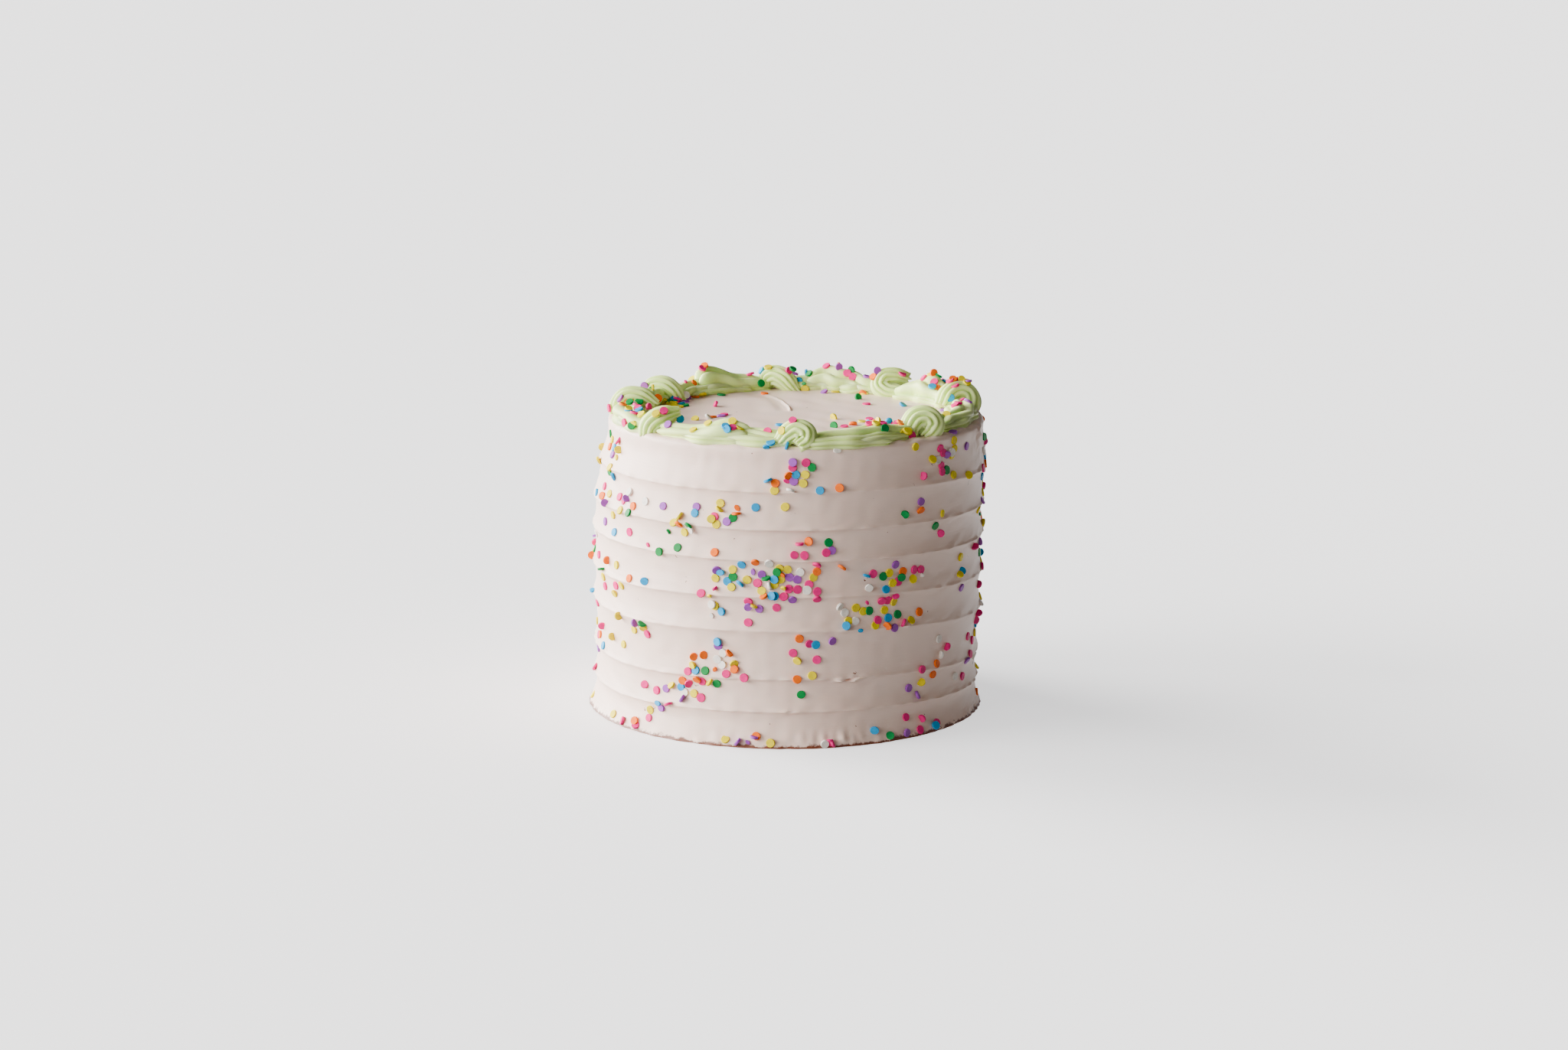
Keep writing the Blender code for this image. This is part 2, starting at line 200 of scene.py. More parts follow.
def makeIvoryIcing():
    kit = ivoryIcing
    material, tree, shader = newMaterial("ivory_buttercream")
    place = addNode(tree, "ShaderNodeTexCoord").outputs["Object"]
    patches = addNoise(tree, place, kit["patchSize"], 3.0)
    colour = addMix(tree, patches, linear(kit["colour"]), linear(kit["deeperColour"]))
    height = addNode(tree, "ShaderNodeSeparateXYZ", {"Vector": place}).outputs["Z"]
    edge = addNoise(tree, place, kit["crumbPatch"], 4.0, 0.7)
    for share, operation in ((kit["crumbRise"], "MULTIPLY"), (kit["crumbDrop"], "SUBTRACT")):
        edge = addNode(tree, "ShaderNodeMath", {0: edge, 1: share * kit["crumbHeight"] * mm},
                       operation=operation).outputs[0]
    foot = addNode(tree, "ShaderNodeMapRange", {"Value": height, "From Min": 0.0, "From Max": edge,
                                                "To Min": kit["crumbStrength"], "To Max": 0.0})
    colour = addMix(tree, foot.outputs["Result"], colour, linear(kit["crumbColour"]))
    stretched = addNode(tree, "ShaderNodeMapping", {"Vector": place, "Scale": (
        1 / (kit["dragLength"] * mm), 1 / (kit["dragLength"] * mm), 1 / (kit["dragSpacing"] * mm))})
    drag = addNode(tree, "ShaderNodeTexNoise", {"Vector": stretched.outputs["Vector"], "Scale": 1.0,
                                                "Detail": 3.0, "Roughness": 0.55})
    relief = addRelief(tree, addNoise(tree, place, kit["lumpSize"], 4.0), kit["lumpDepth"])
    relief = addRelief(tree, drag.outputs["Fac"], kit["dragDepth"], Normal=relief)
    finishMaterial(tree, shader, kit["shader"], colour, relief)
    return material


# pistachio-green buttercream out of a star nozzle: the same fat sheen, with painted shade in the grooves, a
# darker and yellower green that also stands in for the light that has passed through more icing
pistachioIcing = {
    "colour": "#dcf49f",
    "grooveShadeColour": "#c8e06a",
    "patchSize": 14.0,
    "lumpSize": 2.2,
    "lumpDepth": 0.05,
    "shader": {"Roughness": 0.48, "IOR": 1.46, "Specular IOR Level": 0.35, "Subsurface Weight": 0.4,
               "Subsurface Radius": (0.8, 1.0, 0.35), "Subsurface Scale": 3.5 * mm},
}


def makePistachioIcing():
    kit = pistachioIcing
    material, tree, shader = newMaterial("pistachio_buttercream")
    place = addNode(tree, "ShaderNodeTexCoord").outputs["Object"]
    groove = addNode(tree, "ShaderNodeAttribute", attribute_name="groove").outputs["Fac"]
    patches = addNoise(tree, place, kit["patchSize"], 2.0)
    share = addNode(tree, "ShaderNodeMath", {0: groove, 1: patches}, operation="MULTIPLY")
    # painted shade: the deeper a point lies in a groove, the more of the darker, yellower groove colour it
    # gets
    colour = addMix(tree, share.outputs[0], linear(kit["colour"]), linear(kit["grooveShadeColour"]))
    relief = addRelief(tree, addNoise(tree, place, kit["lumpSize"], 3.0), kit["lumpDepth"])
    finishMaterial(tree, shader, kit["shader"], colour, relief)
    return material


# pressed sugar confetti: a chalky, slightly waxed face with a faint mottle of the dye
sugar = {
    "mottleSize": 1.6,
    "mottleDepth": 0.03,
    "darkest": 0.88,
    "lightest": 1.08,
    "shader": {"Roughness": 0.5, "IOR": 1.45, "Specular IOR Level": 0.12},
}


def makeSugar(name, hexColour):
    material, tree, shader = newMaterial(name + "_pressed_sugar")
    place = addNode(tree, "ShaderNodeTexCoord").outputs["Object"]
    mottle = addNoise(tree, place, sugar["mottleSize"], 2.0)
    share = addNode(tree, "ShaderNodeMapRange", {"Value": mottle, "From Min": 0.3, "From Max": 0.7,
                                                 "To Min": sugar["darkest"], "To Max": sugar["lightest"]})
    colour = addNode(tree, "ShaderNodeHueSaturation", {"Color": linear(hexColour),
                                                       "Value": share.outputs["Result"]})
    relief = addRelief(tree, mottle, sugar["mottleDepth"])
    finishMaterial(tree, shader, sugar["shader"], colour.outputs["Color"], relief)
    return material


# the iced side: one slow spiral of shallow spatula bands with sharp lips between them

wall = {
    "topHeight": 155.0,
    "rimHeight": 153.0,
    "heights": (0, 4, 12, 40, 60, 80, 100, 120, 136, 153),
    "radii": (104.6, 102.8, 101.7, 101.6, 102.6, 102.8, 102.9, 102.6, 101.0, 98.9),
    "meanRadius": 102,
    "oneWave": (0.45, 0.6),  # height, and where in the turn
    "threeWaves": (0.3, 40),  # height, and how far up they take to turn by a radian
    "baseShift": 0.3,  # of the axis, towards +X
    "lean": 1.3,  # of the axis, for every 100 mm of height
    "topLean": 3.6,  # more of it between this height and the rim
    "topLeanFrom": 105,
    "ridgeHeights": (0, 19, 36, 61.5, 79, 97.5, 113.5, 132.5, 157.5),
    "sagRight": (82, 42, 2.5),  # azimuth, spread in degrees and depth
    "sagRightMore": (55, 30, 5),  # height where it sags most, spread in height and depth
    "sagLeft": (-58, 30, 2.4),
    "sagLeftBelow": (100, 70),
    "bandDepth": 1.7,
    "steepUnderLip": 3.4,  # powers of the hollow
    "slowAboveLip": 1.7,
    "ridgeLift": 0.6,
    "lipLift": 0.45,
    "lipWidth": 0.65,
    "halfBand": 9,  # half the usual height of a band
    "lipShift": 77.7,  # how far each lip's raggedness is turned from the last one's
    "lipRagged": (0.62, 0.38, 1.5),  # share of a lip that is even, share that varies, and the most of both
    "footFade": 14,  # the bands fade out over this height at the foot
    "rimFade": 7,
    "fineGrain": (0.10, 8.0, 40.0),  # height, shortest and longest wave
    "fineRise": 3.0,
    "footRagged": (0.14, 5),  # depth, and up to which height
    "shoulder": ((0.35, 153.7), (1.0, 154.45), (2.2, 154.9), (3.6, 155.0), (7.0, 155.0)),  # inset and height
    "shoulderWave": 0.25,
    "tuckUnderBorder": 14.0,
    "tuckHeight": 150.0,
    "columns": 640,
    "rowsPerBand": 15,
    "rowsToLips": 0.115,
}
# rough places that the spatula left: azimuth, height, half width and half height, lift and how rough
smears = (
    (18.5, 34.5, 9.5, 1.5, 1.1, 0.8),
    (36.5, 60.5, 2.4, 2.2, 1.5, 0.5),
    (0.5, 19, 5, 0.9, 0.8, 0.5),
    (6, 114, 15, 0.8, 0.5, 0.3),
    (13, 4, 17, 2.6, 0.8, 0.8),
    (-16, 5, 12, 2.2, 0.6, 0.8),
    (72, 148, 6, 7, 1.1, 0.9),
    (88, 140, 6, 6, 0.8, 0.9),
    (-30, 147.5, 7, 2.2, 0.4, 0.6),
    (168, 36, 14, 2, 0.9, 0.8),
    (-150, 80, 8, 2, 0.8, 0.8),
)
smearPatch = {
    "mapRadius": 36,
    "mapRise": 1.6,
    "shortest": 1.8,
    "longest": 7.0,
    "level": 0.4,
    "mmInDegree": 1.78,
}


def leanAt(height):
    # how far the cake's axis has moved towards +X
    more = smoothStep(wall["topLeanFrom"], wall["rimHeight"], height)
    return wall["baseShift"] + wall["lean"] * height / 100 + wall["topLean"] * more


topShift = leanAt(wall["rimHeight"])  # the axis at the rim and above it


def bandHeight(turns, azimuth):
    # the height reached after this many bands of the spiral, which sags a little to both sides
    ridges = wall["ridgeHeights"]
    rise = np.interp(turns, np.arange(len(ridges)), ridges)
    beyond = (np.minimum(turns, 0) + np.maximum(turns - len(ridges) + 1, 0)) * ridges[1]
    middle, width, depth = wall["sagRight"]
    lowest, over, more = wall["sagRightMore"]
    right = (depth + more * np.exp(-(((rise - lowest) / over) ** 2))) * facing(azimuth, middle, width)
    middle, width, depth = wall["sagLeft"]
    left = depth * smoothStep(*wall["sagLeftBelow"], rise) * facing(azimuth, middle, width)
    return rise + beyond - right - left


def smearLift(azimuth, height):
    # each smear is a bell on the side, broken up by a patchy grain
    total = 0
    around = np.radians(azimuth)
    kit, radius = smearPatch, smearPatch["mapRadius"]
    patch = grain(radius * np.sin(around), radius * np.cos(around) + height * kit["mapRise"],
                  5, kit["shortest"], kit["longest"])
    for middle, level, halfWidth, halfHeight, lift, rough in smears:
        aside = (np.mod(azimuth - middle + 180, 360) - 180) * kit["mmInDegree"] / halfWidth
        up = (height - level) / halfHeight
        total = total + lift * np.exp(-aside ** 2 - up ** 2) * (1 + rough * (patch - kit["level"]))
    return total


def wallRadius(azimuth, height, turns):
    # the profile, a slow unevenness, the hollow of each band, and a thin ragged lip along each ridge
    across = 2 * (turns - np.floor(turns)) - 1
    hollow = 1 - np.abs(across) ** np.where(across > 0, wall["steepUnderLip"], wall["slowAboveLip"])
    rim, radius = wall["rimHeight"], wall["meanRadius"]
    fade = smoothStep(0, wall["footFade"], height) * smoothStep(rim, rim - wall["rimFade"], height)
    around = np.radians(azimuth)
    (one, turned), (three, rise) = wall["oneWave"], wall["threeWaves"]
    uneven = one * np.cos(around + turned) + three * np.cos(3 * around + height / rise)
    even, varied, most = wall["lipRagged"]
    ragged = even + varied * ripple(azimuth + wall["lipShift"] * np.round(turns), 11, 4, 70)
    away = (1 - np.abs(across)) * wall["halfBand"]
    lip = np.clip(ragged, 0, most) * np.exp(-((away / wall["lipWidth"]) ** 2))
    depth, shortest, longest = wall["fineGrain"]
    fine = depth * grain(radius * np.sin(around), radius * np.cos(around) + height * wall["fineRise"],
                         3, shortest, longest)
    profile = np.interp(height, wall["heights"], wall["radii"])
    depth, upTo = wall["footRagged"]
    foot = depth * ripple(azimuth, 8, 14, 110) * smoothStep(upTo, 0, height)
    banded = wall["ridgeLift"] - wall["bandDepth"] * hollow + wall["lipLift"] * lip
    return profile + uneven + fine + foot + fade * banded + smearLift(azimuth, height)


def makeIcedSide(icing):
    # rows follow the spiral, closer together at its lips, then run over the rim and in under the border
    turn = np.linspace(-180, 180, wall["columns"] + 1)
    perBand = wall["rowsPerBand"]
    step = np.arange(-perBand, len(wall["ridgeHeights"]) * perBand + 1) / perBand
    bands = step[:, None] - turn[None, :] / 360
    bands = bands - wall["rowsToLips"] * np.sin(2 * np.pi * bands)
    azimuth = np.broadcast_to(turn, bands.shape)
    rim, tuck = wall["rimHeight"], wall["tuckUnderBorder"]
    height = np.clip(bandHeight(bands, azimuth), 0, rim)
    side = aroundAxis(azimuth, wallRadius(azimuth, height, bands), height, leanAt(height))
    edge = wallRadius(turn, np.full_like(turn, rim), np.zeros_like(turn))
    wave = wall["shoulderWave"] * ripple(turn, 21, 5, 60)
    shoulder = []
    for inset, level in wall["shoulder"]:
        wavy = level + wave * smoothStep(rim, wall["topHeight"], level)
        shoulder.append(aroundAxis(turn, edge - inset, wavy, topShift))
    shoulder += [aroundAxis(turn, edge - tuck, level, topShift)
                 for level in (wall["topHeight"], wall["tuckHeight"])]
    points = np.concatenate([side, np.array(shoulder)])
    rows, columns = points.shape[:2]
    index = np.arange(rows * columns).reshape(rows, columns)
    faces = np.stack([index[:-1, :-1], index[:-1, 1:], index[1:, 1:], index[1:, :-1]], axis=-1)
    return addPiece("iced_side", points.reshape(-1, 3), faces.reshape(-1, 4).tolist(), icing,
                    ["cake"], merge=0.002, sharpness=60)


# the smooth top, with one curved lick where the spatula was lifted

top = {
    "radius": 88.0,
    "middleRing": 0.4,
    "underHeight": 152.0,
    "columns": 360,
    "rings": 96,
    "unevenness": (0.12, 14, 70),  # height, shortest and longest wave
    "evenFrom": (86, 70),  # the unevenness fades out between these radii
    "lick": ((-16.5, 58.4), (-12.3, 51.1), (-8.1, 38.0), (-4.6, 22.0), (-3.6, 8.0)),  # x and y
    "lickFades": ((61, 52), (3, 10)),  # y at its far end and at its near end
    "lickLift": 0.8,
    "lickGrows": (0.7, 0.5, 40, 10),  # share at the far end, and what is added between two y
    "lickWidth": 0.62,
    "hollowBeside": (0.45, 4, 3.2),  # depth as a share of the lift, distance and width
}


def makeIcedTop(icing):
    # a polar grid whose height adds a slow unevenness and a bell across the nearest stretch of the lick
    turn = np.linspace(0, 360, top["columns"], endpoint=False)
    reach = np.linspace(top["radius"], top["middleRing"], top["rings"])
    azimuth, radius = np.meshgrid(turn, reach)
    flat = aroundAxis(azimuth, radius, 0.0, 0.0)
    x, y = flat[..., 0], flat[..., 1]
    height, shortest, longest = top["unevenness"]
    level = np.full_like(x, wall["topHeight"])
    level = level + height * grain(x, y, 31, shortest, longest) * smoothStep(*top["evenFrom"], radius)
    path = np.array(top["lick"])
    middle = np.interp(y, path[::-1, 1], path[::-1, 0])
    along = smoothStep(*top["lickFades"][0], y) * smoothStep(*top["lickFades"][1], y)
    aside = x - middle
    share, apart, width = top["hollowBeside"]
    ridge = np.exp(-((aside / top["lickWidth"]) ** 2)) - share * np.exp(-(((aside + apart) / width) ** 2))
    least, added, far, near = top["lickGrows"]
    level = level + top["lickLift"] * ridge * along * (least + added * smoothStep(far, near, y))
    points = aroundAxis(azimuth, radius, level, topShift)
    under = aroundAxis(turn, top["radius"], top["underHeight"], topShift)
    rings = np.concatenate([under[None], points])
    ends = rings[[0, -1]].mean(axis=1)
    return addPiece("iced_top", np.concatenate([rings.reshape(-1, 3), ends]),
                    ropeFaces(*rings.shape[:2]), icing, ["cake"], sharpness=60)


# the piped border: ropes of star-nozzle icing, curled into swirls that take turns with long pulls

border = {
    "radius": 85.4,
    "toFront": 4.6,
    "deepest": 0.6,  # under the flat top
    "rimFrom": 97.5,
    "rimDrop": 0.8,
    "ridgeLean": 1.35,
    "ridgeFlank": 0.75,
    "teeth": 2.6,
    "shortestTooth": 0.15,
    "tornFrom": (0.88, 0.12),  # places along a rope, for its end and its start
    "lumps": 0.022,
    "swirlRidges": 11,
    "swirlStations": 110,
    "swirlSides": 154,
    "swirlLean": 62,
    "swirlTwist": 1.6,
    "swirlGroove": 0.21,
    "swirlMap": (25, 5),  # mm along a rope, and for each radian round it
    "swirlWander": (0.4, 16, 50),  # of the ridges: how far, shortest and longest wave
    "swirlLumps": (7, 30),
    "pullRidges": 6,
    "pullStations": 84,
    "pullSides": 112,
    "pullTwist": 2.0,
    "pullGroove": 0.21,
    "pullMap": 8,
    "pullWander": (0.8, 24, 80),
    "pullLumps": (14, 50),
    "pullLumpier": 2.4,
    "pullSway": (0.8, 14, 45),
    "pullBlur": 21,  # stations that its height and width are smoothed over
    "pullTip": (14, 0.55, 0.45),  # how late it narrows, by how much, and what is left
    "pullRise": (0.24, 0.76),  # share of its height that is below the middle of its section, and above it
}
# azimuth and offset outwards, the direction that the swirl is seen from, and the stations of its rope: to
# the right, up from the flat top, nearer, and the rope's radius
swirls = (
    (0, 1, -2, ((-7.8, 2.2, 1.6, 4.4), (-5, 5, 1.6, 5.6), (-0.6, 7.4, 1.4, 6.2), (3.6, 6, 2.2, 6.4),
                (4, 2.6, 4, 5.8), (1.4, 0.8, 5.6, 3.8))),
    (46.6, -1, 8, ((-7.2, 0, 3, 5), (-6, 4, 1.8, 6), (-2.6, 7.6, 0.6, 6.6), (2.4, 8, 0.4, 6.8),
                   (5, 4.6, 1, 6.8), (3.6, 0.8, 2.2, 5.8), (1.2, -1, 3, 4))),
    (103, 3, 22, ((-8.5, 1.6, 2, 5), (-5.4, 5.8, 1, 6.4), (-0.4, 8.2, 0, 6.8), (4.6, 7.2, 0.8, 6.8),
                  (6.6, 3.2, 2.2, 6.4), (6, -0.2, 3.8, 5.4), (4, -2, 5, 3.8))),
    (140, -2.6, -4, ((8.4, 7.6, -3, 4.2), (3, 9, -2, 5.4), (-2.8, 8.4, -0.5, 5.8), (-5, 4.8, 1.8, 5.8),
                     (-1.2, 2, 3.8, 5.6), (4.2, 1.4, 4.4, 5), (8.6, 0.8, 4, 3.4))),
    (186.6, -1, -4, ((-7.4, 1.4, -2, 4.6), (-5.8, 5.4, -1, 5.8), (-1.6, 6.6, 0.5, 6.4), (3, 4.8, 2.5, 6.2),
                     (6.6, 1.4, 4, 5), (8.8, -0.8, 4.6, 3.2))),
    (240.5, -1, 4, ((-8.4, 4.6, -2, 4.4), (-5.2, 7.2, -1, 5.6), (0, 7.2, 0.5, 6.2), (4.4, 4.6, 2.2, 6),
                    (7.2, 1, 3.8, 5), (8.8, -1.2, 4.6, 3.4))),
    (271, -0.4, -6, ((-8.6, -1, 0, 5), (-8, 4, 0, 6.2), (-4.2, 7.6, 0, 6.6), (1.8, 8.2, 0, 6.4),
                     (6.8, 6.8, 0.5, 5.4), (10.4, 4.8, 1, 4))),
    (307.5, 0.5, -4, ((-6.2, -2, 3, 4.6), (-5.2, 1.8, 2.5, 5.8), (-2.4, 5.2, 1.5, 6.2), (1.6, 7.4, 0, 6),
                      (5.4, 8.6, -1.5, 5), (8.2, 9.2, -2.6, 3.4))),
)
# the pulls between one swirl and the next: azimuths from and to, offset outwards at both, twist of the
# ridges, and the place along it, height and half width of its stations
strokes = (
    ((2, 28, 4.2, 5.4, 1.2, ((0, 4.4, 5.6), (0.5, 5.2, 6.2), (1, 3.8, 4))),
     (4, 44, -1.6, -3.6, -1, ((0, 5.8, 6.8), (0.4, 8, 7.4), (0.62, 8.6, 7.6), (1, 5.8, 6.2))),
     (15, 37, 4.6, 2, 0.9, ((0, 4.2, 4.6), (0.5, 5.4, 5.4), (1, 2.8, 3)))),
    ((53, 97, -2, 1.6, 1.2, ((0, 6, 6.6), (0.4, 6.8, 7.4), (0.7, 7.6, 8), (1, 6.6, 7.2))),
     (56, 86, 2, 5, -1, ((0, 3.4, 4.6), (0.6, 4.8, 5.8), (1, 3.6, 4.6)))),
    ((107, 134, 0.5, -2.5, 0.6, ((0, 8.4, 8.8), (0.5, 12.8, 11), (0.8, 9.4, 9.4), (1, 6.4, 7.2))),
     (110, 124, 4, 2, -0.8, ((0, 8, 7), (0.5, 9.4, 7.6), (1, 6, 6)))),
    ((142, 175, -1, 0, -1.2, ((0, 6.8, 7.8), (0.4, 9.6, 9), (0.76, 14, 10.2), (1, 9.6, 8))),
     (163, 183, 1, 0, 1.2, ((0, 9.4, 7.6), (0.4, 9, 7.8), (1, 6.6, 7))),
     (145, 168, -5.4, -5, 0.8, ((0, 4.4, 5.2), (0.5, 6, 5.6), (1, 4.2, 4.6)))),
    ((191, 220.6, 0, 0.5, -1, ((0, 6.2, 7), (0.4, 8.8, 8.4), (0.84, 14.4, 10.2), (1, 12.4, 9))),
     (218, 238, 0, 0, 1, ((0, 8.4, 7.6), (0.5, 8, 7.6), (1, 6.8, 7.2))),
     (200, 228, -4.2, -4.6, 0.8, ((0, 3.6, 5), (0.6, 6.2, 5.8), (1, 5, 5)))),
    ((243, 267, 0, 1, 0.8, ((0, 7.2, 7.8), (0.5, 9.4, 9.4), (1, 7.4, 8))),),
    ((275, 308, 3, 3, 0.8, ((0, 8.6, 9), (0.4, 9.8, 10.2), (1, 7, 8))),
     (280, 303, 6, 6, -0.8, ((0, 4.6, 5.2), (0.5, 5.8, 6), (1, 4.2, 5)))),
    ((311, 343, 0, -3.5, 1.2, ((0, 5.4, 6.4), (0.4, 7.2, 7.8), (0.78, 12.2, 10.2), (1, 9.2, 9))),
     (332, 358, -2, -3.5, -0.9, ((0, 7.6, 6.6), (0.4, 7.6, 6.8), (1, 6.4, 6.2))),
     (320, 346, 3.4, 2.6, 1, ((0, 3.4, 4.4), (0.45, 5, 5.8), (1, 3.4, 4))),
     (338, 357, 1.6, 3.2, 0.9, ((0, 5, 5), (0.5, 5.6, 5.6), (1, 4, 4.6)))),
)


def borderRadius(azimuth):
    # the ring's middle lies a little nearer the front than the cake's axis does
    return border["radius"] + border["toFront"] * np.cos(np.radians(azimuth))


def ridged(phase):
    # 0 in a groove and 1 on a ridge that leans over to one side, as thin fins do when they are dragged
    share = np.mod(phase / (2 * np.pi), 1)
    return np.sin(np.pi * share ** border["ridgeLean"]) ** border["ridgeFlank"]


def tornEnds(place, phase, crest, ridges, seed):
    # every ridge runs on past the grooves by its own seeded length at both ends of a rope
    lengths = np.random.default_rng(seed).uniform(border["shortestTooth"], 1.0, 2 * ridges)
    late, early = border["tornFrom"]
    ridge = np.floor(phase / (2 * np.pi)).astype(int) % ridges
    ending = lengths[ridge] * smoothStep(late, 1, place)
    starting = lengths[ridge + ridges] * smoothStep(early, 0, place)
    return border["teeth"] * crest * (ending - starting)


def restOnIcing(rings):
    # nothing sinks deeper than the flat top, or past the rim than a slope that hangs over it
    out = np.hypot(rings[..., 0] - topShift, rings[..., 1])
    level = wall["topHeight"] - border["deepest"] - border["rimDrop"] * np.maximum(out - border["rimFrom"], 0)
    rings[..., 2] = np.maximum(rings[..., 2], level)
    return rings


def smoothPath(stations, count):
    # a curve through all stations: each stretch is the cubic whose slopes are taken from the two beside it
    ends = 2 * stations[[0, -1]] - stations[[1, -2]]
    rows = np.concatenate([ends[:1], stations, ends[1:]])
    step = np.linspace(0, len(stations) - 1, count)
    first = np.minimum(step.astype(int), len(stations) - 2)
    share = (step - first)[:, None]
    before, start, end, after = (rows[first + order] for order in range(4))
    return start + 0.5 * share * ((end - before) + share * (
        (2 * before - 5 * start + 4 * end - after) + share * (3 * (start - end) + after - before)))


def makeSwirl(number, settings, icing):
    # a ridged rope through the stations of one swirl, with torn ends
    azimuth, outBy, faces, stations = settings
    view, over = np.radians([faces, border["swirlLean"]])
    right = np.array([np.cos(view), np.sin(view), 0])
    near = np.array([np.sin(view), -np.cos(view), 0])
    axis = near * np.sin(over) + np.array([0, 0, np.cos(over)])
    foot = aroundAxis(azimuth, borderRadius(azimuth) + outBy, wall["topHeight"], topShift)
    curve = smoothPath(np.array(stations), border["swirlStations"])
    path = foot + curve[:, :1] * right + curve[:, 1:2] * np.array([0, 0, 1.0]) + curve[:, 2:3] * near
    place = np.linspace(0, 1, border["swirlStations"])
    tangent = unit(np.gradient(path, axis=0))
    sideways = unit(np.cross(tangent, axis))
    lifted = np.cross(sideways, tangent)
    around = np.linspace(0, 2 * np.pi, border["swirlSides"], endpoint=False)
    phase = border["swirlRidges"] * around[None, :] + border["swirlTwist"] * place[:, None] + number
    along, girth = place[:, None] * border["swirlMap"][0], around[None, :] * border["swirlMap"][1]
    wander, *waves = border["swirlWander"]
    phase = phase + wander * grain(along, girth, 40 + number, *waves)
    crest = ridged(phase)
    lumps = border["lumps"] * grain(along, girth, number, *border["swirlLumps"])
    section = curve[:, 3:] * (1 - border["swirlGroove"] * (1 - crest) + lumps)
    rings = path[:, None] + section[..., None] * (np.cos(around)[None, :, None] * sideways[:, None]
                                                  + np.sin(around)[None, :, None] * lifted[:, None])
    torn = tornEnds(place[:, None], phase, crest, border["swirlRidges"], 60 + number)
    rings = rings + tangent[:, None] * torn[..., None]
    return finishRope(f"border_swirl_{number}", [(restOnIcing(rings), crest)], icing)


def makePull(settings, seed):
    # a half-round ridged section carried along the rim, its height and half width eased between stations
    start, end, outStart, outEnd, twist, shape = settings
    place = np.linspace(0, 1, border["pullStations"])
    eased = np.array(shape).T
    blur = np.hanning(border["pullBlur"]) / np.hanning(border["pullBlur"]).sum()
    high, wide = (np.convolve(np.pad(np.interp(place, eased[0], line), blur.size // 2, mode="edge"), blur,
                              mode="valid") for line in eased[1:])
    late, narrowing, least = border["pullTip"]
    tip = np.sqrt(np.clip(1 - np.abs(2 * place - 1) ** late, 0, 1)) * narrowing + least
    around = np.linspace(0, 2 * np.pi, border["pullSides"], endpoint=False)
    length = math.radians(end - start) * border["radius"]
    along, girth = place[:, None] * length, around[None, :] * border["pullMap"]
    phase = border["pullRidges"] * around[None, :] + border["pullTwist"] * twist * place[:, None] + seed
    wander, *waves = border["pullWander"]
    phase = phase + wander * grain(along, girth, 70 + seed, *waves)
    crest = ridged(phase)
    lumps = border["pullLumpier"] * border["lumps"] * grain(along, girth, seed, *border["pullLumps"])
    ridge = 1 - border["pullGroove"] * (1 - crest) + lumps
    middle = borderRadius(start + (end - start) * place)
    middle = middle + outStart + (outEnd - outStart) * smoothStep(0, 1, place)
    sway, *waves = border["pullSway"]
    middle = middle + sway * grain(place * length, 0, 30 + seed, *waves)
    reach = middle[:, None] - (wide * tip)[:, None] * np.cos(around) * ridge
    below, above = border["pullRise"]
    lift = (high * tip)[:, None] * (below + above * np.sin(around)) * ridge
    torn = tornEnds(place[:, None], phase, crest, border["pullRidges"], 90 + seed)
    azimuth = start + (end - start) * place[:, None] + np.degrees(torn / border["radius"])
    rings = aroundAxis(azimuth, reach, wall["topHeight"] + lift, topShift)
    return restOnIcing(rings), crest


def makeStroke(number, pulls, icing):
    ropes = [makePull(settings, 10 * number + order) for order, settings in enumerate(pulls)]
    return finishRope(f"border_stroke_{number}", ropes, icing)


def finishRope(name, ropes, icing):
    # closes the ends of each rope, joins them in one piece, and keeps how deep each point lies in a groove
    points, faces, grooves = [], [], []
    for rings, crest in ropes:
        faces += ropeFaces(*rings.shape[:2], first=sum(len(part) for part in points))
        points.append(np.concatenate([rings.reshape(-1, 3), rings[[0, -1]].mean(axis=1)]))
        grooves.append(np.append(1 - crest.ravel(), [0.5, 0.5]))
    piece = addPiece(name, np.concatenate(points), faces, icing, [name], sharpness=75)
    groove = piece.data.attributes.new("groove", "FLOAT", "POINT")
    groove.data.foreach_set("value", np.concatenate(grooves).astype(np.float32))
    return piece


# sprinkles: flat round confetti, one joined piece for each colour

confetti = {
    "radius": 2.28,
    "thickness": 1.2,
    "sides": 12,
    "softRim": 0.94,
    "flat": (0.1, 0.22),  # tilt in radians, and lift in thicknesses
    "standing": (0.12, 1.15, 1.5, 0.45),  # share of them, tilt from and to, and lift in radii
    "leaning": (0.18, 0.3, 0.8, 0.3),
    "meets": 1.3,  # how many radii apart two of them meet
    "climbing": (0.1, 0.35, 0.3, 0.75, 2),  # tilt from and to, lift in thicknesses, more for each below, most
    "broken": (0.1, 0.35, 0.7),  # share of them, and size from and to
    "brokenAcross": 1.5,
    "uneven": (0.93, 1.04),
    "spread": 1.3,
    "tries": 4,
    "lowest": 2.4,
    "highest": 150,
    "castRadius": 125,
    "castHeight": 190,
    "seed": 12,
}
dyes = {  # sRGB colour and share of the mix
    "pink": ("#e81f80", 0.27),
    "yellow": ("#e8d400", 0.23),
    "orange": ("#f46c00", 0.16),
    "purple": ("#9c50b6", 0.11),
    "blue": ("#0c9ad6", 0.10),
    "green": ("#00843e", 0.09),
    "white": ("#f1ebe4", 0.05),
}
